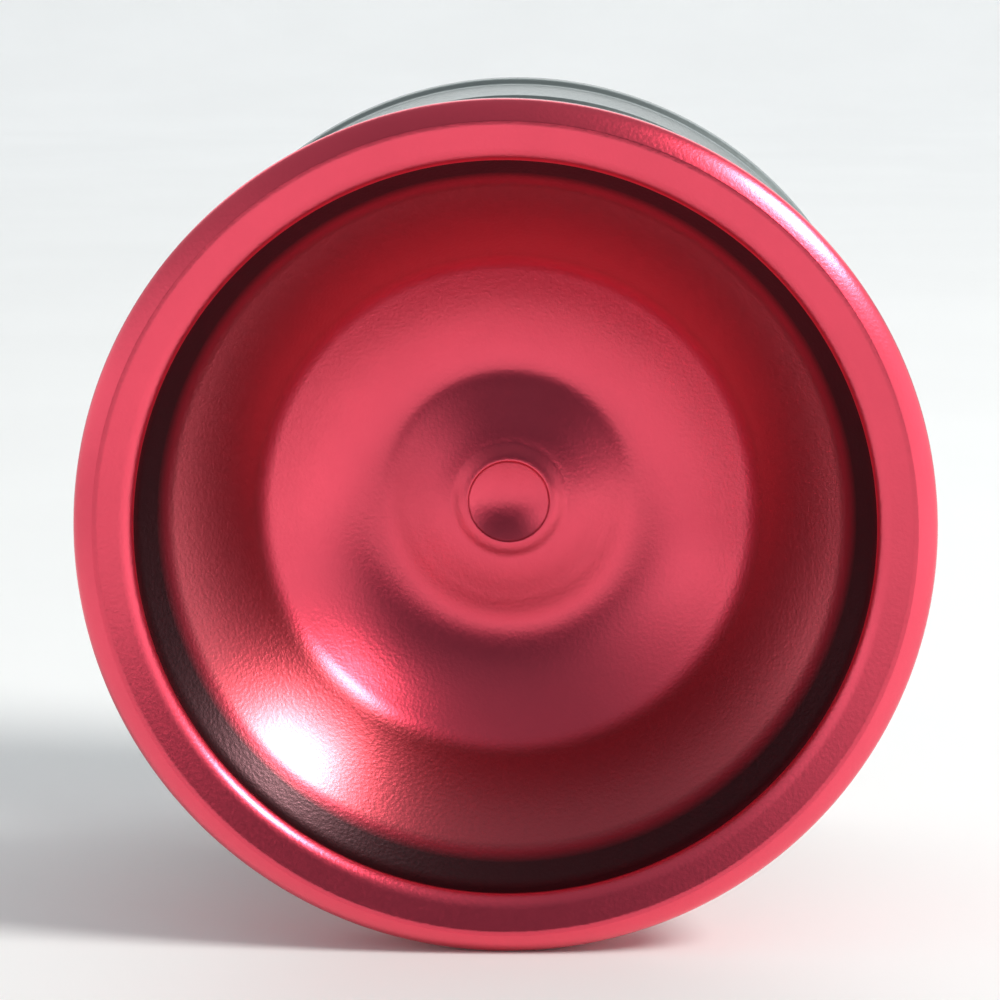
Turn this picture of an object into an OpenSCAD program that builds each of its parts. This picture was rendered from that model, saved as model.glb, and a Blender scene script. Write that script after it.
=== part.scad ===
// Ball-bearing yo-yo with two turned metal halves screwed together on a steel stud.
// The origin is the middle of the string gap on the spin axis. The spin axis is Y,
// the front cup opens towards -Y, and the rims stand on a floor below, in -Z.
// A half is described by points [radius, distance from the middle of the gap].

/* [Rim] */
// Outer radius of both halves
rim_r = 28; // [27.6:0.1:28.6]
// Distance from the middle of the gap to the widest circle of the rim
rim_y = 19.9; // [19.5:0.1:20.2]
// Radius of the front edge, where the outer band meets the lip
edge_r = 26.5; // [26.3:0.05:26.7]
// Distance from the middle of the gap to the front edge
edge_y = 21.1; // [20.9:0.05:21.4]
// Width of the flat land on the front edge
edge_land = 0.3; // [0.2:0.05:0.4]
// Radius of the bore inside the lip
lip_r = 24.1; // [23.95:0.05:24.25]
// Fall of the lip from the front edge to its bore, in degrees
lip_fall = 18; // [15:1:21]
// Radius of the rounding between the lip and its bore
lip_round = 1.6; // [1.3:0.05:1.8]
// Slope of that rounding where it ends at the bore, in degrees
lip_edge = 62; // [56:1:68]
// Largest radius of the undercut behind the lip
undercut_r = 24.6; // [24.45:0.05:24.75]
// Distance of that place from the middle of the gap
undercut_y = 18.6; // [18.5:0.05:18.75]
// Slope of the wall between the bowl and the undercut, in degrees
undercut_slope = 52; // [50:1:54]
// Radius at which the outer wall of the half meets the catch slope of the gap
shoulder_r = 26.9; // [26.7:0.05:27.05]
// Distance of that corner from the middle of the gap
shoulder_y = 14; // [13.6:0.1:14.4]
// Radius of the outer wall at the foot of the step up to the rim
step_r = 27.5; // [27.3:0.05:27.6]
// Distance of the foot of that step from the middle of the gap
step_y = 18; // [17.7:0.1:18.2]

/* [Cup] */
// Radius of the mouth of the bowl, where the wall to the undercut starts
bowl_r = 22.35; // [22.2:0.05:22.45]
// Distance of that place from the middle of the gap
bowl_y = 14.95; // [14.85:0.05:15.1]
// Slope of the bowl at that place, in degrees
bowl_slope = 44; // [42:1:46]
// Radius where the bowl is steepest
steep_r = 16.8; // [16.4:0.1:17.2]
// Distance of the steepest place from the middle of the gap
steep_y = 8.9; // [8.75:0.05:9.05]
// Slope of the bowl just outside the steepest place, in degrees
steep_slope = 51; // [49:1:53]
// Drop in that slope just inside the steepest place, in degrees
steep_break = 15; // [12:1:18]
// Radius of the bottom of the bowl
valley_r = 9; // [8.6:0.1:9.4]
// Distance of the bottom of the bowl from the middle of the gap
valley_y = 5.2; // [5.05:0.05:5.35]
// Radius where the hill round the boss is steepest
hill_r = 6.9; // [6.5:0.1:7.2]
// Distance of that place from the middle of the gap
hill_y = 5.71; // [5.6:0.01:5.8]
// Slope at that place, in degrees
hill_slope = 17; // [15:1:20]
// Radius at the foot of the centre boss
boss_r = 4.1; // [4:0.05:4.2]
// Distance of that foot from the middle of the gap
foot_y = 6.5; // [6.4:0.05:6.6]
// Distance of the top of the boss from the middle of the gap
boss_y = 6.9; // [6.8:0.05:7]
// Radius of the dish in the boss
dish_r = 2.8; // [2.6:0.05:2.85]
// Depth of the dish in the boss
dish_depth = 0.7; // [0.4:0.05:0.8]

/* [String gap] */
// Distance of each gap wall from the middle of the gap
gap_half = 2.3; // [2.2:0.05:2.35]
// Radius where the flat gap wall turns into the catch slope
catch_r = 9.95; // [9.85:0.05:10.2]
// Radius of the middle of the catch slope
mid_r = 17; // [16.7:0.1:17.3]
// Distance of the middle of the catch slope from the middle of the gap
mid_y = 6.1; // [5.9:0.05:6.3]
// Inner radius of the groove for the response pad
groove_in = 7.1; // [7.05:0.05:7.3]
// Outer radius of the groove for the response pad
groove_out = 9.55; // [9.4:0.05:9.7]
// Depth of the groove for the response pad
groove_depth = 1.1; // [0.95:0.05:1.2]
// Thickness of the response pad
pad_t = 1; // [0.85:0.05:1.05]
// Gap between the pad and the sides of its groove
pad_play = 0.05; // [0.03:0.01:0.1]

/* [Bearing] */
// Radius of the bore of the bearing
bore_r = 3.175; // [3.175:0.001:3.176]
// Outer radius of the bearing
outer_r = 6.35; // [6.35:0.01:6.36]
// Width of the bearing
bearing_w = 4.7625; // [4.76:0.0005:4.7625]
// Radius of a bearing ball
ball_r = 0.79375; // [0.78:0.00125:0.79375]
// Number of bearing balls
balls = 10; // [10:1:10]
// Radius of the circle that the ball centres lie on
pitch_r = 4.7625; // [4.76:0.0005:4.765]
// Clearance between a ball and its raceways
race_play = 0.02; // [0.015:0.005:0.03]
// Outer radius of the inner race
inner_land = 4.35; // [4.3:0.01:4.38]
// Inner radius of the outer race
outer_land = 5.2; // [5.16:0.01:5.24]
// Distance of a shield from the middle of the bearing
shield_y = 1.7; // [1.6:0.05:1.75]
// Thickness of a shield
shield_t = 0.2; // [0.15:0.01:0.2]
// Thickness of the cage ribbon
cage_t = 0.13; // [0.1:0.01:0.15]
// Radius of the wire of a snap ring
wire_r = 0.15; // [0.12:0.01:0.16]

/* [Axle] */
// Thread radius of the stud
axle_r = 2; // [1.98:0.005:2]
// Length of the stud
axle_len = 10; // [9.5:0.1:10]
// Thread pitch of the stud
pitch = 0.7; // [0.7:0.05:0.75]
// Depth of the thread
thread_h = 0.4; // [0.3:0.01:0.43]
// Radial clearance between the stud and the halves
axle_play = 0.02; // [0.015:0.005:0.04]
// Distance between the flats of the hex socket
hex_af = 2; // [1.8:0.1:2]
// Depth of the hex socket
hex_depth = 2.2; // [1.5:0.1:2.5]

/* [Hidden] */
$fn = 96;
// Number of steps along each curved stretch of a profile
steps = 9;
post_tip = 0.4;            // each half's post stops this far from the middle
post_r = bore_r - 0.015;   // slip fit inside the inner race
seat_r = 4.0;              // outer radius of the face that clamps the inner race
pocket_r = outer_r + 0.3;  // recess that clears the outer race
half_w = bearing_w / 2;
pocket_y = half_w + 0.35;
hole_y = axle_len / 2 + 0.4;
shield_out = 5.72;         // outer radius of a shield
shield_in = inner_land + 0.2;
wire_y = shield_y + shield_t + wire_r + 0.005;
wire_c = 5.78;             // radius of the snap ring's centre line
cage_in = inner_land + 0.15;
cage_out = outer_land - 0.15;
pocket_ball = ball_r + 0.04;
groove_ball = ball_r + race_play;

// Cubic from a to b, each [radius, distance, slope in degrees], as a height over the radius.
function rise(a, b, t) =
    let (w = b[0] - a[0], t2 = t * t, t3 = t2 * t)
    [a[0] + w * t,
     (2 * t3 - 3 * t2 + 1) * a[1] + (t3 - 2 * t2 + t) * w * tan(a[2])
     + (3 * t2 - 2 * t3) * b[1] + (t3 - t2) * w * tan(b[2])];
function stretch(a, b, n = steps) = [for (i = [1 : n]) rise(a, b, i / n)];
// Cubic Bezier through four points, without its first point.
function bez(p, q, r, s, n = steps) =
    [for (i = [1 : n]) let (t = i / n, u = 1 - t)
        u * u * u * p + 3 * u * u * t * q + 3 * u * t * t * r + t * t * t * s];
function dir(a) = [cos(a), sin(a)];

// The section of one half, from the bottom of the stud's hole, round the gap side, the rim
// and the cup, to the middle of the dish.
land_out = edge_r + edge_land / 2;
land_in = edge_r - edge_land / 2;
lip_turn_r = lip_r + lip_round * (sin(lip_edge) - sin(lip_fall));
lip_turn = [lip_turn_r, edge_y - (land_in - lip_turn_r) * tan(lip_fall)];
lip_c = lip_turn + lip_round * dir(lip_fall - 90);
lip_low = lip_c + lip_round * dir(90 + lip_edge) - [0, 0.15];
under = [undercut_r, undercut_y];
bowl = [bowl_r, bowl_y, bowl_slope];
steep = [steep_r, steep_y, steep_slope];
knee = [steep_r, steep_y, steep_slope - steep_break];
valley = [valley_r, valley_y, 0];
hill = [hill_r, hill_y, -hill_slope];
foot = [boss_r, foot_y, -8];
rim = [rim_r, rim_y];
shoulder = [shoulder_r, shoulder_y];
step = [step_r, step_y];
catch_mid = [mid_r, mid_y, 36];
section = concat(
    [[0, hole_y], [axle_r + axle_play, hole_y], [axle_r + axle_play, post_tip + 0.35],
     [axle_r + axle_play + 0.35, post_tip], [post_r - 0.2, post_tip], [post_r, post_tip + 0.2],
     [post_r, half_w], [seat_r, half_w], [seat_r, pocket_y], [pocket_r, pocket_y],
     [pocket_r, gap_half + 0.05], [pocket_r + 0.05, gap_half], [groove_in, gap_half],
     [groove_in, gap_half + groove_depth], [groove_out, gap_half + groove_depth],
     [groove_out, gap_half], [catch_r, gap_half]],
    stretch([catch_r, gap_half, 16], catch_mid),
    stretch(catch_mid, [shoulder_r, shoulder_y, 39]),
    bez(shoulder, shoulder + 1.2 * dir(78), step - [0.06, 1], step, 8),
    bez(step, step + [0.03, 0.32], [rim_r, step_y + 0.5], [rim_r, step_y + 1], 6),
    [rim],
    bez(rim, rim + [0, 0.4], [land_out, edge_y] + 0.6 * dir(-28), [land_out, edge_y], 10),
    [[land_in, edge_y]],
    [for (i = [0 : 9]) lip_c + lip_round * dir(90 + lip_fall + (lip_edge - lip_fall) * i / 9)],
    [lip_low],
    bez(lip_low, lip_low - [0, 0.3], under + [0, 0.5], under, 6),
    bez(under, under - [0, 0.5], [bowl_r, bowl_y] + 3.4 * dir(undercut_slope), [bowl_r, bowl_y] + 2.6 * dir(undercut_slope), 5),
    [[bowl_r, bowl_y]],
    [for (i = [1 : steps]) rise(steep, bowl, 1 - i / steps)],
    [for (i = [1 : 2 * steps]) rise(valley, knee, 1 - i / (2 * steps))],
    [for (i = [1 : 5]) rise(hill, valley, 1 - i / 5)],
    [for (i = [1 : 7]) rise(foot, hill, 1 - i / 7)],
    bez([boss_r, foot_y], [boss_r - 0.35, foot_y + 0.05], [dish_r + 0.5, boss_y], [dish_r + 0.05, boss_y], 8),
    [[dish_r, boss_y - 0.04]],
    [for (i = [1 : 6]) let (r = dish_r * (1 - i / 6)) [r, boss_y - 0.04 - (dish_depth - 0.04) * (1 - pow(r / dish_r, 2))]]);

// Turns a piece made along +Z so that its +Z lies along -Y (the front) or +Y (the rear).
module front() { rotate([90, 0, 0]) children(); }
module rear() { rotate([-90, 0, 0]) children(); }

module half() { rotate_extrude($fn = 180) polygon(section); }

module response_pad() {
    a = groove_in + pad_play;
    b = groove_out - pad_play;
    floor_y = gap_half + groove_depth;
    top_y = floor_y - pad_t;
    rotate_extrude($fn = 120)
        polygon([[a, floor_y], [a, top_y + 0.12], [a + 0.12, top_y], [b - 0.12, top_y], [b, top_y + 0.12], [b, floor_y]]);
}

module front_half() { color("crimson") front() half(); }
module rear_half() { color("lightsteelblue") rear() half(); }
module front_response_pad() { color("dimgray") front() response_pad(); }
module rear_response_pad() { color("dimgray") rear() response_pad(); }

// Stud with thread ridges, chamfered ends and a hex socket at its front end.
turns = floor((axle_len - 1.4) / pitch);
thread_z = -turns * pitch / 2;
module axle() {
    color("silver") front() difference() {
        rotate_extrude($fn = 72) polygon(concat(
            [[0, -axle_len / 2], [axle_r - 0.45, -axle_len / 2], [axle_r - thread_h, -axle_len / 2 + 0.3]],
            [for (i = [0 : turns - 1]) each
                [[axle_r - thread_h, thread_z + i * pitch + pitch * 0.12],
                 [axle_r, thread_z + i * pitch + pitch * 0.44],
                 [axle_r, thread_z + i * pitch + pitch * 0.56],
                 [axle_r - thread_h, thread_z + i * pitch + pitch * 0.88]]],
            [[axle_r - thread_h, axle_len / 2 - 0.3], [axle_r - 0.45, axle_len / 2], [0, axle_len / 2]]));
        translate([0, 0, axle_len / 2 - hex_depth]) cylinder(r = hex_af / 2 / cos(30), h = hex_depth + 1, $fn = 6);
    }
}

// A ring between two radii with chamfered corners and a raceway cut for the balls.
module race(r1, r2) {
    c = 0.15;
    rotate_extrude($fn = 120) difference() {
        polygon([[r1 + c, -half_w], [r2 - c, -half_w], [r2, c - half_w], [r2, half_w - c],
                 [r2 - c, half_w], [r1 + c, half_w], [r1, half_w - c], [r1, c - half_w]]);
        translate([pitch_r, 0]) circle(r = groove_ball, $fn = 48);
        children();
    }
}

module bearing_inner_race() { color("gainsboro") rear() race(bore_r, inner_land); }

// The outer race has a step for each shield and a groove for each snap ring.
module bearing_outer_race() {
    color("silver") rear() race(outer_land, outer_r) {
        for (s = [-1, 1]) scale([1, s]) union() {
            translate([outer_land - 1, shield_y]) square([shield_out + 0.02 - outer_land + 1, 2]);
            translate([wire_c, wire_y]) circle(r = wire_r + 0.01, $fn = 32);
        }
    }
}

module shield() {
    rotate_extrude($fn = 96) polygon([[shield_in, shield_y + 0.03], [shield_in + 0.08, shield_y], [shield_out, shield_y],
        [shield_out, shield_y + shield_t - 0.02], [shield_out - 0.35, shield_y + shield_t],
        [shield_in + 0.12, shield_y + shield_t], [shield_in, shield_y + shield_t - 0.05]]);
}

// Round wire bent to almost a full turn.
module snap_ring() {
    rotate([0, 0, 8]) rotate_extrude(angle = 344, $fn = 96) translate([wire_c, wire_y]) circle(r = wire_r, $fn = 24);
}

module bearing_shield_front() { color("lightgray") front() shield(); }
module bearing_shield_rear() { color("lightgray") rear() shield(); }
module bearing_snap_ring_front() { color("darkgray") front() snap_ring(); }
module bearing_snap_ring_rear() { color("darkgray") rear() snap_ring(); }

// One ribbon of the cage: a flat ring with a domed pocket over each ball.
module cage_ribbon() {
    difference() {
        intersection() {
            difference() {
                cylinder(r = cage_out, h = 2, $fn = 96);
                translate([0, 0, -1]) cylinder(r = cage_in, h = 4, $fn = 96);
            }
            union() {
                cylinder(r = cage_out + 1, h = cage_t, $fn = 96);
                for (i = [0 : balls - 1]) rotate([0, 0, i * 360 / balls]) translate([pitch_r, 0, 0]) sphere(r = pocket_ball + cage_t, $fn = 32);
            }
        }
        for (i = [0 : balls - 1]) rotate([0, 0, i * 360 / balls]) translate([pitch_r, 0, 0]) sphere(r = pocket_ball, $fn = 32);
    }
}
module bearing_cage_front() { color("goldenrod") front() cage_ribbon(); }
module bearing_cage_rear() { color("goldenrod") rear() cage_ribbon(); }

module ball(i) { color("white") rear() rotate([0, 0, i * 360 / balls]) translate([pitch_r, 0, 0]) sphere(r = ball_r, $fn = 48); }
module bearing_ball_01() { ball(0); }
module bearing_ball_02() { ball(1); }
module bearing_ball_03() { ball(2); }
module bearing_ball_04() { ball(3); }
module bearing_ball_05() { ball(4); }
module bearing_ball_06() { ball(5); }
module bearing_ball_07() { ball(6); }
module bearing_ball_08() { ball(7); }
module bearing_ball_09() { ball(8); }
module bearing_ball_10() { ball(9); }

front_half();
rear_half();
axle();
front_response_pad();
rear_response_pad();
bearing_inner_race();
bearing_outer_race();
bearing_cage_front();
bearing_cage_rear();
bearing_shield_front();
bearing_shield_rear();
bearing_snap_ring_front();
bearing_snap_ring_rear();
bearing_ball_01();
bearing_ball_02();
bearing_ball_03();
bearing_ball_04();
bearing_ball_05();
bearing_ball_06();
bearing_ball_07();
bearing_ball_08();
bearing_ball_09();
bearing_ball_10();
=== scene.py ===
import math

import bmesh
import bpy
import numpy as np
from mathutils import Matrix, Vector


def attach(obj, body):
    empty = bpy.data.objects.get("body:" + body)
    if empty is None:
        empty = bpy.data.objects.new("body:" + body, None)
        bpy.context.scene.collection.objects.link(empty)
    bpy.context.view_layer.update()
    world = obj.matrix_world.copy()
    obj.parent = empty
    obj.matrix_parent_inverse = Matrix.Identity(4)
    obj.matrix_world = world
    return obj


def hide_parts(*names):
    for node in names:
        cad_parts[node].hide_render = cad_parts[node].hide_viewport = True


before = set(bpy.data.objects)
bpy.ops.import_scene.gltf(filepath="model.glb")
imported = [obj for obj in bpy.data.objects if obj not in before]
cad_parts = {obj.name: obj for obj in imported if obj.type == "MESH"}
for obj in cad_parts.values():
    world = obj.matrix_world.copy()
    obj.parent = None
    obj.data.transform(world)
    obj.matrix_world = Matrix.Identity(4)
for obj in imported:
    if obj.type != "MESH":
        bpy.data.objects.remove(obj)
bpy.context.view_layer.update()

MM = 0.001
scene = bpy.context.scene

# ----------------------------------------------------------------------------
# Camera: almost straight into the front cup, a little above and to the right
# ----------------------------------------------------------------------------
cam = bpy.data.cameras.new("camera")
cam.sensor_width = 36.0
cam.lens = 118.670
cam.clip_start = 0.01
cam.clip_end = 50.0
cam_obj = bpy.data.objects.new("camera", cam)
scene.collection.objects.link(cam_obj)
azimuth, elevation = math.radians(1.4832), math.radians(9.2319)
ahead = Vector((-math.sin(azimuth) * math.cos(elevation), math.cos(azimuth) * math.cos(elevation), -math.sin(elevation)))
right = Vector((math.cos(azimuth), math.sin(azimuth), 0.0))
up = right.cross(ahead)
turn = Matrix((right, up, -ahead)).transposed()
cam_obj.matrix_world = Matrix.Translation(Vector((5.1722, -230.2004, 36.3912)) * MM) @ turn.to_4x4()
scene.camera = cam_obj

# ----------------------------------------------------------------------------
# The section of a half: radius and distance from the middle of the gap, in mm
# (the same rule as the design's own, with finer steps and small broken edges)
# ----------------------------------------------------------------------------
RIM = (28.0, 19.9)
EDGE_R, EDGE_Y, LAND = 26.5, 21.1, 0.3
LIP_R, LIP_FALL, LIP_ROUND, LIP_EDGE = 24.1, 18.0, 1.6, 62.0
UNDERCUT, UNDERCUT_SLOPE = (24.6, 18.6), 52.0
STEP, SHOULDER = (27.5, 18.0), (26.9, 14.0)
BOWL = (22.35, 14.95, 44.0)
STEEP, KNEE, VALLEY = (16.8, 8.9, 51.0), (16.8, 8.9, 36.0), (9.0, 5.2, 0.0)
HILL, FOOT = (6.9, 5.71, -17.0), (4.1, 6.5, -8.0)
BOSS_Y, DISH_R, DISH_DEPTH = 6.9, 2.8, 0.7
GAP, CATCH_R, MID = 2.3, 9.95, (17.0, 6.1, 36.0)
SHOULDER_SLOPE = 39.0
HOLE_Y, STUD_LEN = 5.4, 10.0
HALF_W = 4.7625 / 2


def rise(a, b, t):
    w = b[0] - a[0]
    ta, tb = math.tan(math.radians(a[2])), math.tan(math.radians(b[2]))
    return (a[0] + w * t,
            (2 * t**3 - 3 * t**2 + 1) * a[1] + (t**3 - 2 * t**2 + t) * w * ta
            + (3 * t**2 - 2 * t**3) * b[1] + (t**3 - t**2) * w * tb)


def bez(p, q, r, s, n):
    out = []
    for i in range(1, n + 1):
        t = i / n
        u = 1 - t
        out.append(tuple(u**3 * p[k] + 3 * u * u * t * q[k] + 3 * u * t * t * r[k] + t**3 * s[k] for k in (0, 1)))
    return out


def go(p, length, degrees):
    a = math.radians(degrees)
    return (p[0] + length * math.cos(a), p[1] + length * math.sin(a))


def broken(points, radii):
    """The polyline with each corner named in radii (index: radius) rounded."""
    out = []
    for i, p in enumerate(points):
        r = radii.get(i, 0)
        if not r or i in (0, len(points) - 1):
            out.append(p)
            continue
        a, b, c = (np.array(points[k], float) for k in (i - 1, i, i + 1))
        u, v = (a - b), (c - b)
        lu, lv = np.linalg.norm(u), np.linalg.norm(v)
        u, v = u / lu, v / lv
        cut = min(r, 0.45 * lu, 0.45 * lv)
        s, e = b + u * cut, b + v * cut
        for t in np.linspace(0, 1, 6):
            q = (1 - t) ** 2 * s + 2 * t * (1 - t) * b + t * t * e
            out.append((float(q[0]), float(q[1])))
    return out


def half_section():
    land_out, land_in = EDGE_R + LAND / 2, EDGE_R - LAND / 2
    post_r, pocket_r, pocket_y, hole_r = 3.16, 6.65, HALF_W + 0.35, 2.02
    hub = [(0, HOLE_Y), (hole_r, HOLE_Y), (hole_r, 0.75), (hole_r + 0.35, 0.4), (post_r - 0.2, 0.4), (post_r, 0.6),
           (post_r, HALF_W), (4.0, HALF_W), (4.0, pocket_y), (pocket_r, pocket_y), (pocket_r, GAP + 0.05),
           (pocket_r + 0.05, GAP), (7.1, GAP), (7.1, GAP + 1.1), (9.55, GAP + 1.1), (9.55, GAP), (CATCH_R, GAP)]
    hub += [rise((CATCH_R, GAP, 16), MID, 0.02)]
    hub = broken(hub, {1: 0.1, 6: 0.12, 7: 0.08, 8: 0.12, 9: 0.12, 12: 0.06, 13: 0.1, 14: 0.1, 15: 0.08, 16: 0.12})
    p = hub
    p += [rise((CATCH_R, GAP, 16), MID, i / 28) for i in range(1, 29)]
    p += [rise(MID, SHOULDER + (SHOULDER_SLOPE,), i / 36) for i in range(1, 37)]
    # the shoulder, with a broken edge, the outer wall and the step up to the rim
    wall = bez(SHOULDER, go(SHOULDER, 1.2, 78), (STEP[0] - 0.06, STEP[1] - 1.0), STEP, 20)
    shoulder = broken([p[-2], p[-1], wall[1]], {1: 0.3})
    p = p[:-1] + shoulder[1:-1] + wall[1:]
    p += bez(STEP, (STEP[0] + 0.03, STEP[1] + 0.32), (RIM[0], STEP[1] + 0.5), (RIM[0], STEP[1] + 1.0), 12)
    # the outer band, the land of the front edge and the lip
    p += [(RIM[0], (STEP[1] + 1.0 + RIM[1]) / 2), RIM]
    band = bez(RIM, (RIM[0], RIM[1] + 0.4), go((land_out, EDGE_Y), 0.6, -28), (land_out, EDGE_Y), 26)
    p += band[:-1]
    edge = broken([band[-2], (land_out, EDGE_Y), (land_in, EDGE_Y), go((land_in, EDGE_Y), 1.0, 180 + LIP_FALL)], {1: 0.1, 2: 0.1})
    p += edge[1:-1]
    fall, side = math.radians(LIP_FALL), math.radians(LIP_EDGE)
    turn_r = LIP_R + LIP_ROUND * (math.sin(side) - math.sin(fall))
    turn = (turn_r, EDGE_Y - (land_in - turn_r) * math.tan(fall))
    centre = go(turn, LIP_ROUND, LIP_FALL - 90)
    p += [tuple(np.array((land_in, EDGE_Y)) * (1 - t) + np.array(turn) * t) for t in (0.3, 0.65)]
    arc_points = [go(centre, LIP_ROUND, 90 + LIP_FALL + (LIP_EDGE - LIP_FALL) * i / 22) for i in range(0, 23)]
    low = (LIP_R, arc_points[-1][1] - 0.15)
    p += broken(arc_points[:-1] + [arc_points[-1], low], {22: 0.06})
    # the undercut behind the lip, and the wall that leads down to the bowl
    p += bez(low, (low[0], low[1] - 0.3), (UNDERCUT[0], UNDERCUT[1] + 0.5), UNDERCUT, 14)
    p += bez(UNDERCUT, (UNDERCUT[0], UNDERCUT[1] - 0.5), go(BOWL[:2], 3.4, UNDERCUT_SLOPE), go(BOWL[:2], 2.6, UNDERCUT_SLOPE), 10)
    p += [go(BOWL[:2], d, UNDERCUT_SLOPE) for d in (1.7, 1.0)]
    p += broken([go(BOWL[:2], 1.0, UNDERCUT_SLOPE), BOWL[:2], rise(STEEP, BOWL, 26 / 30)], {1: 0.9})[1:-1]
    # the bowl, the hill and the boss
    p += [rise(STEEP, BOWL, 1 - i / 30) for i in range(5, 27)]
    a, b, c = (np.array(q[:2]) for q in (p[-1], STEEP, rise(VALLEY, KNEE, 1 - 4 / 44)))
    p += [tuple((1 - t) ** 2 * a + 2 * t * (1 - t) * b + t * t * c) for t in (i / 9 for i in range(1, 9))]
    p += [rise(VALLEY, KNEE, 1 - i / 44) for i in range(4, 45)]
    p += [rise(HILL, VALLEY, 1 - i / 14) for i in range(1, 15)]
    p += [rise(FOOT, HILL, 1 - i / 20) for i in range(1, 21)]
    p += bez(FOOT[:2], (FOOT[0] - 0.35, FOOT[1] + 0.05), (DISH_R + 0.5, BOSS_Y), (DISH_R + 0.05, BOSS_Y), 24)
    p += [(DISH_R + 0.02, BOSS_Y - 0.01), (DISH_R, BOSS_Y - 0.04)]
    for i in range(1, 17):
        r = DISH_R * (1 - i / 16)
        p.append((r, BOSS_Y - 0.04 - (DISH_DEPTH - 0.04) * (1 - (r / DISH_R) ** 2)))
    return p


# ----------------------------------------------------------------------------
# Mesh helpers
# ----------------------------------------------------------------------------
def finish_mesh(name, bm, smooth_angle=32):
    bmesh.ops.recalc_face_normals(bm, faces=bm.faces)
    mesh = bpy.data.meshes.new(name)
    bm.to_mesh(mesh)
    bm.free()
    for poly in mesh.polygons:
        poly.use_smooth = True
    mesh.set_sharp_from_angle(angle=math.radians(smooth_angle))
    obj = bpy.data.objects.new(name, mesh)
    scene.collection.objects.link(obj)
    return obj


def lathe(name, section, side, segments, closed=False, start=0.0, sweep=360.0, smooth_angle=32):
    """A body of revolution about Y. side -1 puts the section's distance along -Y, +1 along +Y."""
    bm = bmesh.new()
    full = sweep >= 360
    cols = segments if full else segments + 1
    rows = []
    for r, d in section:
        if r < 1e-9:
            rows.append([bm.verts.new((0, side * d * MM, 0))])
            continue
        row = []
        for k in range(cols):
            a = math.radians(start + sweep * k / segments)
            row.append(bm.verts.new((r * MM * math.cos(a), side * d * MM, r * MM * math.sin(a))))
        rows.append(row)
    pairs = list(zip(rows, rows[1:] + rows[:1])) if closed else list(zip(rows, rows[1:]))
    for a, b in pairs:
        for k in range(segments):
            m = (k + 1) % cols if full else k + 1
            if len(a) == 1 and len(b) == 1:
                continue
            if len(a) == 1:
                bm.faces.new((a[0], b[k], b[m]))
            elif len(b) == 1:
                bm.faces.new((a[k], b[0], a[m]))
            else:
                bm.faces.new((a[k], b[k], b[m], a[m]))
    if not full:
        bm.faces.new([row[0] for row in rows])
        bm.faces.new([row[-1] for row in reversed(rows)])
    return finish_mesh(name, bm, smooth_angle)


# ----------------------------------------------------------------------------
# Materials
# ----------------------------------------------------------------------------
def new_material(name):
    m = bpy.data.materials.new(name)
    m.use_nodes = True
    nt = m.node_tree
    for n in list(nt.nodes):
        nt.nodes.remove(n)
    out = nt.nodes.new("ShaderNodeOutputMaterial")
    b = nt.nodes.new("ShaderNodeBsdfPrincipled")
    nt.links.new(b.outputs["BSDF"], out.inputs["Surface"])
    return m, nt, b


def noise(nt, coord, scale, detail=2.0, rough=0.5, kind="FBM"):
    n = nt.nodes.new("ShaderNodeTexNoise")
    n.noise_dimensions = "3D"
    n.inputs["Scale"].default_value = scale
    n.inputs["Detail"].default_value = detail
    n.inputs["Roughness"].default_value = rough
    nt.links.new(coord, n.inputs["Vector"])
    return n


def ramp(nt, fac, stops):
    r = nt.nodes.new("ShaderNodeValToRGB")
    while len(r.color_ramp.elements) < len(stops):
        r.color_ramp.elements.new(0.5)
    for e, (pos, col) in zip(r.color_ramp.elements, stops):
        e.position = pos
        e.color = col if len(col) == 4 else tuple(col) + (1.0,)
    nt.links.new(fac, r.inputs["Fac"])
    return r


def remap(nt, value, a, b, c, d):
    m = nt.nodes.new("ShaderNodeMapRange")
    for k, v in zip(("From Min", "From Max", "To Min", "To Max"), (a, b, c, d)):
        m.inputs[k].default_value = v
    nt.links.new(value, m.inputs["Value"])
    return m.outputs["Result"]


def object_coord(nt):
    return nt.nodes.new("ShaderNodeTexCoord").outputs["Object"]


def math_node(nt, op, a, b=None):
    m = nt.nodes.new("ShaderNodeMath")
    m.operation = op
    for k, v in ((0, a), (1, b)):
        if isinstance(v, (int, float)):
            m.inputs[k].default_value = v
        elif v is not None:
            nt.links.new(v, m.inputs[k])
    return m.outputs[0]


def radius_and_depth(nt, co):
    """Distance from the spin axis, and distance along it, both in metres."""
    sep = nt.nodes.new("ShaderNodeSeparateXYZ")
    nt.links.new(co, sep.inputs[0])
    flat = nt.nodes.new("ShaderNodeCombineXYZ")
    nt.links.new(sep.outputs["X"], flat.inputs["X"])
    nt.links.new(sep.outputs["Z"], flat.inputs["Y"])
    length = nt.nodes.new("ShaderNodeVectorMath")
    length.operation = "LENGTH"
    nt.links.new(flat.outputs[0], length.inputs[0])
    return length.outputs["Value"], sep.outputs["Y"]


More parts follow.
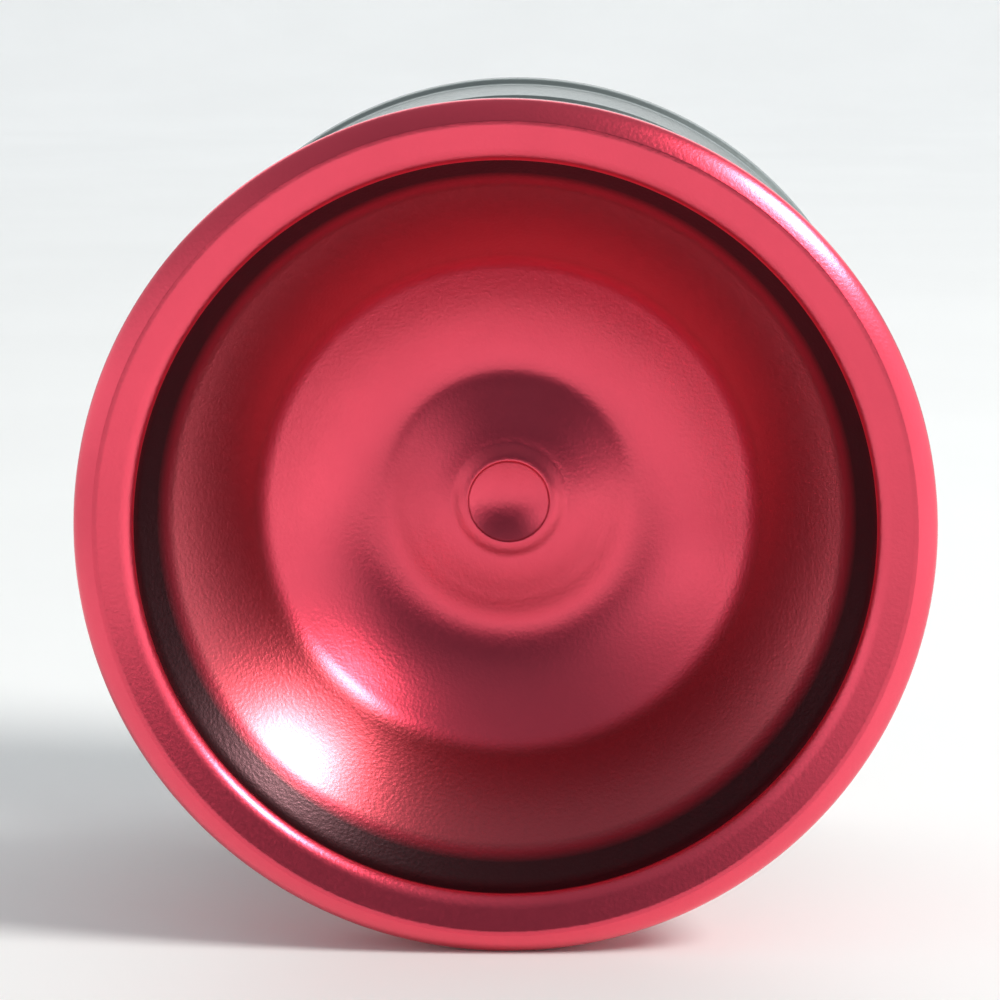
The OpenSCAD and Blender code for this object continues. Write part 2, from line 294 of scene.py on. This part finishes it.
def anodised(name, dark, light, bowl_wall_shade, shade, rough=(0.29, 0.325), coat=1.0, coat_rough=0.24):
    """Fine bead-blasted, anodised aluminium: a peened micro surface under a clear dyed oxide, with painted shade in the
    undercut behind the lip and on the steep wall of the bowl.
    """
    m, nt, b = new_material(name)
    co = object_coord(nt)
    fine = noise(nt, co, 14000, 2.0, 0.55)
    peen = noise(nt, co, 4200, 1.5, 0.45)
    cloud = noise(nt, co, 160, 4.0, 0.6)
    colour = ramp(nt, cloud.outputs["Fac"], [(0.3, dark), (0.72, light)])
    # painted shade: the base colour darkened and the coat thinned in the undercut behind the lip, set to stand in for
    # the shade of that deep recess; darker in the undercut behind the lip: set by eye, the cause on the real object
    # isn't known
    radius, y = radius_and_depth(nt, co)
    depth = math_node(nt, "ABSOLUTE", y)
    ring = math_node(nt, "MULTIPLY", remap(nt, radius, 0.0220, 0.0231, 0.0, 1.0), remap(nt, radius, 0.0252, 0.0254, 1.0, 0.0))
    deep = math_node(nt, "MULTIPLY", remap(nt, depth, 0.0143, 0.0146, 0.0, 1.0), remap(nt, depth, 0.0195, 0.0198, 1.0, 0.0))
    mix = nt.nodes.new("ShaderNodeMix")
    mix.data_type = "RGBA"
    undercut = math_node(nt, "MULTIPLY", ring, deep)
    nt.links.new(undercut, mix.inputs["Factor"])
    # the thinner coat in the undercut is part of the same painted shade
    nt.links.new(remap(nt, undercut, 0.0, 1.0, coat, 0.25 * coat), b.inputs["Coat Weight"])
    # painted shade: a darker red on the steep wall of the bowl, set because a plain finish rendered too bright there
    wall = math_node(nt, "MULTIPLY", remap(nt, radius, 0.0166, 0.0172, 0.0, 1.0), remap(nt, radius, 0.0222, 0.0226, 1.0, 0.0))
    # only on the cup's side of the wall, not on the catch slope behind it
    wall = math_node(nt, "MULTIPLY", wall, math_node(nt, "GREATER_THAN", math_node(nt, "SUBTRACT", depth, math_node(nt, "MULTIPLY", radius, 0.937)), -0.0083))
    wall_shade_mix = nt.nodes.new("ShaderNodeMix")
    wall_shade_mix.data_type = "RGBA"
    nt.links.new(math_node(nt, "MULTIPLY", wall, math_node(nt, "LESS_THAN", depth, 0.0158)), wall_shade_mix.inputs["Factor"])
    nt.links.new(colour.outputs["Color"], wall_shade_mix.inputs[6])
    wall_shade_mix.inputs[7].default_value = tuple(bowl_wall_shade) + (1.0,)
    nt.links.new(wall_shade_mix.outputs[2], mix.inputs[6])
    # the painted shade colour of the undercut
    mix.inputs[7].default_value = tuple(shade) + (1.0,)
    nt.links.new(mix.outputs[2], b.inputs["Base Color"])
    nt.links.new(remap(nt, peen.outputs["Fac"], 0.35, 0.65, *rough), b.inputs["Roughness"])
    bump = nt.nodes.new("ShaderNodeBump")
    bump.inputs["Strength"].default_value = 0.6
    bump.inputs["Distance"].default_value = 0.000024
    nt.links.new(math_node(nt, "ADD", peen.outputs["Fac"], math_node(nt, "MULTIPLY", fine.outputs["Fac"], 0.25)), bump.inputs["Height"])
    nt.links.new(bump.outputs["Normal"], b.inputs["Normal"])
    b.inputs["Metallic"].default_value = 1.0
    b.inputs["Coat Roughness"].default_value = coat_rough
    b.inputs["Coat IOR"].default_value = 1.45
    return m


# the last two colours of each finish are painted shade: on the steep bowl wall and in the undercut behind the lip
RED = anodised("red_anodised_aluminium", (0.82, 0.054, 0.106), (0.88, 0.060, 0.116), (0.54, 0.056, 0.082), (0.080, 0.038, 0.044))
SILVER = anodised("silver_anodised_aluminium", (0.25, 0.28, 0.277), (0.27, 0.30, 0.295), (0.21, 0.235, 0.235), (0.09, 0.10, 0.10), coat=0.5)


def ground_steel(name, base, axis_scale=(1, 26, 1), rough=(0.16, 0.3), bump_d=0.000004):
    """Ground or turned steel: fine lines round the spin axis, which come from noise stretched along each turn."""
    m, nt, b = new_material(name)
    co = object_coord(nt)
    sep = nt.nodes.new("ShaderNodeSeparateXYZ")
    nt.links.new(co, sep.inputs[0])
    # radius from the axis and distance along it; lines run round the axis
    comb = nt.nodes.new("ShaderNodeCombineXYZ")
    flat = nt.nodes.new("ShaderNodeCombineXYZ")
    nt.links.new(sep.outputs["X"], flat.inputs["X"])
    nt.links.new(sep.outputs["Z"], flat.inputs["Y"])
    length = nt.nodes.new("ShaderNodeVectorMath")
    length.operation = "LENGTH"
    nt.links.new(flat.outputs[0], length.inputs[0])
    nt.links.new(length.outputs["Value"], comb.inputs["X"])
    nt.links.new(sep.outputs["Y"], comb.inputs["Y"])
    lines = noise(nt, comb.outputs[0], 16000, 3.0, 0.6)
    blotch = noise(nt, co, 900, 3.0, 0.6)
    colour = ramp(nt, blotch.outputs["Fac"], [(0.3, tuple(c * 0.9 for c in base)), (0.7, base)])
    nt.links.new(colour.outputs["Color"], b.inputs["Base Color"])
    nt.links.new(remap(nt, lines.outputs["Fac"], 0.3, 0.7, *rough), b.inputs["Roughness"])
    bump = nt.nodes.new("ShaderNodeBump")
    bump.inputs["Strength"].default_value = 0.5
    bump.inputs["Distance"].default_value = bump_d
    nt.links.new(lines.outputs["Fac"], bump.inputs["Height"])
    nt.links.new(bump.outputs["Normal"], b.inputs["Normal"])
    b.inputs["Metallic"].default_value = 1.0
    return m


BEARING = ground_steel("bearing_steel", (0.66, 0.66, 0.67))
SHIELD = ground_steel("shield_steel", (0.58, 0.58, 0.60), rough=(0.24, 0.36))
STUD = ground_steel("axle_steel", (0.33, 0.33, 0.35), rough=(0.26, 0.42))
CAGE = ground_steel("cage_steel", (0.55, 0.54, 0.52), rough=(0.25, 0.4))
BALL = ground_steel("ball_steel", (0.80, 0.80, 0.82), rough=(0.05, 0.1), bump_d=0.0000005)


def silicone(name):
    m, nt, b = new_material(name)
    co = object_coord(nt)
    speck = noise(nt, co, 5200, 3.0, 0.6)
    cloud = noise(nt, co, 420, 3.0, 0.55)
    colour = ramp(nt, cloud.outputs["Fac"], [(0.3, (0.70, 0.70, 0.68)), (0.7, (0.78, 0.78, 0.76))])
    nt.links.new(colour.outputs["Color"], b.inputs["Base Color"])
    nt.links.new(remap(nt, speck.outputs["Fac"], 0.3, 0.7, 0.45, 0.62), b.inputs["Roughness"])
    bump = nt.nodes.new("ShaderNodeBump")
    bump.inputs["Strength"].default_value = 0.4
    bump.inputs["Distance"].default_value = 0.00002
    nt.links.new(speck.outputs["Fac"], bump.inputs["Height"])
    nt.links.new(bump.outputs["Normal"], b.inputs["Normal"])
    b.inputs["Subsurface Weight"].default_value = 0.15
    b.inputs["Subsurface Radius"].default_value = (0.0006, 0.0006, 0.0006)
    return m


SILICONE = silicone("silicone_rubber")

# ----------------------------------------------------------------------------
# The halves
# ----------------------------------------------------------------------------
section = half_section()
front = lathe("front_half_shell", section, -1, 240)
front.data.materials.append(RED)
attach(front, "front")
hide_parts("front_half")
rear = lathe("rear_half_shell", section, 1, 240)
rear.data.materials.append(SILVER)
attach(rear, "core")
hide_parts("rear_half")

# ----------------------------------------------------------------------------
# Response pads: cast silicone rings, slightly crowned and with soft edges
# ----------------------------------------------------------------------------
pad_in, pad_out, pad_floor, pad_top = 7.15, 9.5, GAP + 1.1, GAP + 0.1
pad = broken([(pad_in + 0.6, pad_floor), (pad_in, pad_floor), (pad_in, pad_top + 0.04), (8.1, pad_top), (8.55, pad_top),
              (pad_out, pad_top + 0.04), (pad_out, pad_floor), (pad_out - 0.6, pad_floor)], {1: 0.08, 2: 0.22, 5: 0.22, 6: 0.08})
for side, body, name in ((-1, "front", "front_response_pad"), (1, "core", "rear_response_pad")):
    ring = lathe(name + "_ring", pad, side, 144, closed=True)
    ring.data.materials.append(SILICONE)
    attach(ring, body)
    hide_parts(name)

# ----------------------------------------------------------------------------
# Bearing
# ----------------------------------------------------------------------------
BORE, OUTER, IN_LAND, OUT_LAND, PITCH_R, GROOVE = 3.175, 6.35, 4.35, 5.2, 4.7625, 0.81375


def arc(cx, cy, r, a0, a1, n):
    return [(cx + r * math.cos(math.radians(a0 + (a1 - a0) * i / n)), cy + r * math.sin(math.radians(a0 + (a1 - a0) * i / n))) for i in range(n + 1)]


a_in = math.degrees(math.acos((PITCH_R - IN_LAND) / GROOVE))
inner = [(IN_LAND - 0.12, HALF_W), (BORE + 0.15, HALF_W), (BORE, HALF_W - 0.15), (BORE, 0.15 - HALF_W), (BORE + 0.15, -HALF_W),
         (IN_LAND - 0.12, -HALF_W), (IN_LAND, 0.12 - HALF_W)]
inner = broken(inner + [(IN_LAND, -0.9)], {1: 0.08, 2: 0.08, 3: 0.08, 4: 0.08, 5: 0.08, 6: 0.08})
inner += arc(PITCH_R, 0, GROOVE, 180 + a_in, 180 - a_in, 16) + [(IN_LAND, 0.9), (IN_LAND, HALF_W - 0.12)]
inner_race = lathe("bearing_inner_ring", inner, 1, 160, closed=True)
inner_race.data.materials.append(BEARING)
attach(inner_race, "core")
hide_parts("bearing_inner_race")

SH_Y, SH_T, SH_OUT, SH_IN, WIRE_R, WIRE_C = 1.7, 0.2, 5.72, 4.55, 0.15, 5.78
WIRE_Y = SH_Y + SH_T + WIRE_R + 0.005
a_out = math.degrees(math.acos((OUT_LAND - PITCH_R) / GROOVE))


def outer_half(s):
    """The outer race's bore side from the raceway to the face: land, shield step, wire groove."""
    step_r = SH_OUT + 0.02
    g = WIRE_R + 0.012
    d = step_r - WIRE_C
    h = math.sqrt(g * g - d * d)
    a = math.degrees(math.asin(h / g)) if d >= 0 else 180 - math.degrees(math.asin(h / g))
    pts = [(OUT_LAND, 0.95), (OUT_LAND, SH_Y), (step_r, SH_Y)] + arc(WIRE_C, WIRE_Y, g, -a, a, 10) + [(step_r, HALF_W - 0.05), (step_r + 0.05, HALF_W)]
    return [(r, s * y) for r, y in pts]


outer = list(reversed(outer_half(-1))) + arc(PITCH_R, 0, GROOVE, -a_out, a_out, 16) + outer_half(1)
outer += broken([(6.0, HALF_W), (OUTER, HALF_W), (OUTER, -HALF_W), (6.0, -HALF_W)], {1: 0.2, 2: 0.2})
outer_race = lathe("bearing_outer_ring", outer, 1, 200, closed=True)
outer_race.data.materials.append(BEARING)
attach(outer_race, "bearing_outer")
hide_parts("bearing_outer_race")

# shields: pressed sheet with a rolled inner edge and a shallow step
shield = [(SH_IN, SH_Y + 0.06), (SH_IN + 0.07, SH_Y), (SH_IN + 0.45, SH_Y), (SH_IN + 0.52, SH_Y + 0.03), (SH_OUT, SH_Y + 0.03),
          (SH_OUT, SH_Y + SH_T - 0.02), (SH_OUT - 0.32, SH_Y + SH_T), (SH_IN + 0.62, SH_Y + SH_T - 0.01), (SH_IN + 0.55, SH_Y + SH_T - 0.05),
          (SH_IN + 0.14, SH_Y + SH_T - 0.05), (SH_IN, SH_Y + SH_T - 0.08)]
for side, tag in ((-1, "front"), (1, "rear")):
    cover = lathe(f"bearing_shield_{tag}_cover", shield, side, 144, closed=True, smooth_angle=50)
    cover.data.materials.append(SHIELD)
    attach(cover, "bearing_outer")
    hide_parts(f"bearing_shield_{tag}")
    wire = [(r, y) for r, y in arc(WIRE_C, WIRE_Y, WIRE_R, 0, 360, 16)[:-1]]
    snap = lathe(f"bearing_snap_wire_{tag}", wire, side, 120, closed=True, start=8, sweep=344, smooth_angle=60)
    snap.data.materials.append(STUD)
    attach(snap, "bearing_outer")
    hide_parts(f"bearing_snap_ring_{tag}")

for n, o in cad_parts.items():
    mat = BALL if n.startswith("bearing_ball") else CAGE if n.startswith("bearing_cage") else None
    if mat:
        for poly in o.data.polygons:
            poly.use_smooth = True
        o.data.set_sharp_from_angle(angle=math.radians(30))
        o.data.materials.clear()
        o.data.materials.append(mat)

# ----------------------------------------------------------------------------
# Stud: a real helical thread with chamfered ends and a hex socket
# ----------------------------------------------------------------------------
def stud_mesh(name, major=2.0, depth=0.4, pitch=0.7, length=STUD_LEN, af=2.0, hex_depth=2.2, seg=72):
    bm = bmesh.new()
    half = length / 2
    per = 12  # rows per pitch
    n = int(round(length / pitch * per))

    def radius(d, k):
        # phase of the thread at this height and turn; the front (distance +half) is the socket end
        ph = ((d + half) / pitch - k / seg) % 1.0
        h = 1 - min(1.0, max(0.0, (abs(ph - 0.5) * 2 - 0.125) / 0.75)) if True else 0
        r = major - depth * (1 - h)
        end = half - abs(d)
        return min(r, major - 0.5 + end * 1.0) if end < 0.5 else r

    rows = []
    for i in range(n + 1):
        d = -half + length * i / n
        rows.append([bm.verts.new((radius(d, k) * MM * math.cos(2 * math.pi * k / seg), -d * MM,
                                   radius(d, k) * MM * math.sin(2 * math.pi * k / seg))) for k in range(seg)])
    for a, b in zip(rows, rows[1:]):
        for k in range(seg):
            m = (k + 1) % seg
            bm.faces.new((a[k], b[k], b[m], a[m]))
    # far end: a shallow centre dimple
    ring = [bm.verts.new((0.5 * MM * math.cos(2 * math.pi * k / seg), half * MM, 0.5 * MM * math.sin(2 * math.pi * k / seg))) for k in range(seg)]
    tip = bm.verts.new((0, (half - 0.25) * MM, 0))
    for k in range(seg):
        m = (k + 1) % seg
        bm.faces.new((rows[0][k], rows[0][m], ring[m], ring[k]))
        bm.faces.new((ring[k], ring[m], tip))
    # socket end: a countersink, the hex walls and the drill point at the bottom
    ap = af / 2

    def hex_point(k, grow=1.0):
        a = 2 * math.pi * k / seg
        local = (math.degrees(a) % 60) - 30
        r = ap * grow / math.cos(math.radians(local))
        return r * math.cos(a), r * math.sin(a)

    def hex_ring(d, blend):
        out = []
        for k in range(seg):
            hx, hz = hex_point(k)
            a = 2 * math.pi * k / seg
            cx, cz = 1.22 * math.cos(a), 1.22 * math.sin(a)
            out.append(bm.verts.new(((hx * (1 - blend) + cx * blend) * MM, -d * MM, (hz * (1 - blend) + cz * blend) * MM)))
        return out

    levels = [hex_ring(half, 1.0), hex_ring(half - 0.18, 0.0), hex_ring(half - hex_depth * 0.5, 0.0), hex_ring(half - hex_depth, 0.0)]
    prev = rows[-1]
    for level in levels:
        for k in range(seg):
            m = (k + 1) % seg
            bm.faces.new((prev[k], level[k], level[m], prev[m]))
        prev = level
    point = bm.verts.new((0, -(half - hex_depth - 0.35) * MM, 0))
    for k in range(seg):
        m = (k + 1) % seg
        bm.faces.new((prev[k], point, prev[m]))
    return finish_mesh(name, bm, 28)


stud = stud_mesh("threaded_stud")
stud.data.materials.append(STUD)
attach(stud, "stud")
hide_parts("axle")

# ----------------------------------------------------------------------------
# Floor: a pale seamless sweep
# ----------------------------------------------------------------------------
def floor_material():
    m, nt, b = new_material("floor_white")
    co = object_coord(nt)
    soft = noise(nt, co, 14, 3.0, 0.5)
    colour = ramp(nt, soft.outputs["Fac"], [(0.35, (0.88, 0.88, 0.88)), (0.65, (0.90, 0.90, 0.90))])
    nt.links.new(colour.outputs["Color"], b.inputs["Base Color"])
    b.inputs["Roughness"].default_value = 0.55
    b.inputs["Specular IOR Level"].default_value = 0.25
    return m


def make_floor():
    bm = bmesh.new()
    z0 = -0.028
    line = [(-1.4, z0), (1.1, z0)]
    for i in range(1, 17):
        a = math.pi / 2 * i / 16
        line.append((1.1 + 0.5 * math.sin(a), z0 + 0.5 * (1 - math.cos(a))))
    line.append((1.6, 1.2))
    rows = [[bm.verts.new((x, y, z)) for x in (-2.4, 2.4)] for y, z in line]
    for a, b in zip(rows, rows[1:]):
        bm.faces.new((a[0], a[1], b[1], b[0]))
    mesh = bpy.data.meshes.new("floor")
    bm.to_mesh(mesh)
    bm.free()
    for poly in mesh.polygons:
        poly.use_smooth = True
    o = bpy.data.objects.new("floor", mesh)
    scene.collection.objects.link(o)
    o.data.materials.append(floor_material())
    return o


make_floor()


# ----------------------------------------------------------------------------
# Studio light
# ----------------------------------------------------------------------------
def area(name, direction, distance, size, power, colour=(1, 1, 1), shape="DISK", target=(0, 0, 0), size_y=None):
    light = bpy.data.lights.new(name, "AREA")
    light.shape = shape
    light.size = size
    if size_y:
        light.size_y = size_y
    light.energy = power
    light.color = colour
    o = bpy.data.objects.new(name, light)
    scene.collection.objects.link(o)
    d = Vector(direction).normalized()
    o.location = Vector(target) + d * distance
    o.rotation_euler = d.to_track_quat("Z", "Y").to_euler()
    return o


area("key", (0.70, -0.29, 0.65), 1.0, 0.32, 8.6, (1.0, 0.98, 0.94))
area("backdrop_fill", (0.0, 0.35, 1.0), 1.0, 3.0, 12.5, (0.98, 0.99, 1.0), shape="RECTANGLE", target=(0.2, 0.95, 0), size_y=1.2)

# Surroundings: a bright room to both sides and behind, darker above and in front
world = bpy.data.worlds.new("world")
scene.world = world
world.use_nodes = True
nt = world.node_tree
for n in list(nt.nodes):
    nt.nodes.remove(n)
out = nt.nodes.new("ShaderNodeOutputWorld")
back = nt.nodes.new("ShaderNodeBackground")
tc = nt.nodes.new("ShaderNodeTexCoord")
sep = nt.nodes.new("ShaderNodeSeparateXYZ")
nt.links.new(tc.outputs["Generated"], sep.inputs[0])
X, Y, Z = (sep.outputs[k] for k in "XYZ")
front_ramp = ramp(nt, remap(nt, Z, -0.1, 1.0, 0.0, 1.0),
                  [(0.0, (0.30, 0.32, 0.33)), (0.07, (0.13, 0.16, 0.17)), (0.2, (0.080, 0.115, 0.125)), (0.42, (0.10, 0.135, 0.145)), (0.62, (0.20, 0.24, 0.25)), (1.0, (0.33, 0.36, 0.37))])
side_ramp = ramp(nt, remap(nt, Z, -0.1, 1.0, 0.0, 1.0),
                 [(0.0, (1.18, 1.19, 1.20)), (0.3, (1.16, 1.17, 1.19)), (0.55, (0.52, 0.55, 0.56)), (1.0, (0.33, 0.36, 0.37))])
right_left = remap(nt, X, -1.0, 1.0, 0.88, 1.12)
side = math_node(nt, "MAXIMUM", remap(nt, math_node(nt, "ABSOLUTE", math_node(nt, "SUBTRACT", X, 0.10)), 0.35, 0.85, 0.0, 1.0), remap(nt, Y, -0.1, 0.4, 0.0, 1.0))
mix = nt.nodes.new("ShaderNodeMix")
mix.data_type = "RGBA"
nt.links.new(side, mix.inputs["Factor"])
nt.links.new(front_ramp.outputs["Color"], mix.inputs[6])
nt.links.new(side_ramp.outputs["Color"], mix.inputs[7])
nt.links.new(mix.outputs[2], back.inputs["Color"])
nt.links.new(right_left, back.inputs["Strength"])
nt.links.new(back.outputs["Background"], out.inputs["Surface"])

scene.view_settings.view_transform = "Standard"
scene.view_settings.look = "None"
scene.view_settings.exposure = 0.0
scene.view_settings.gamma = 1.0
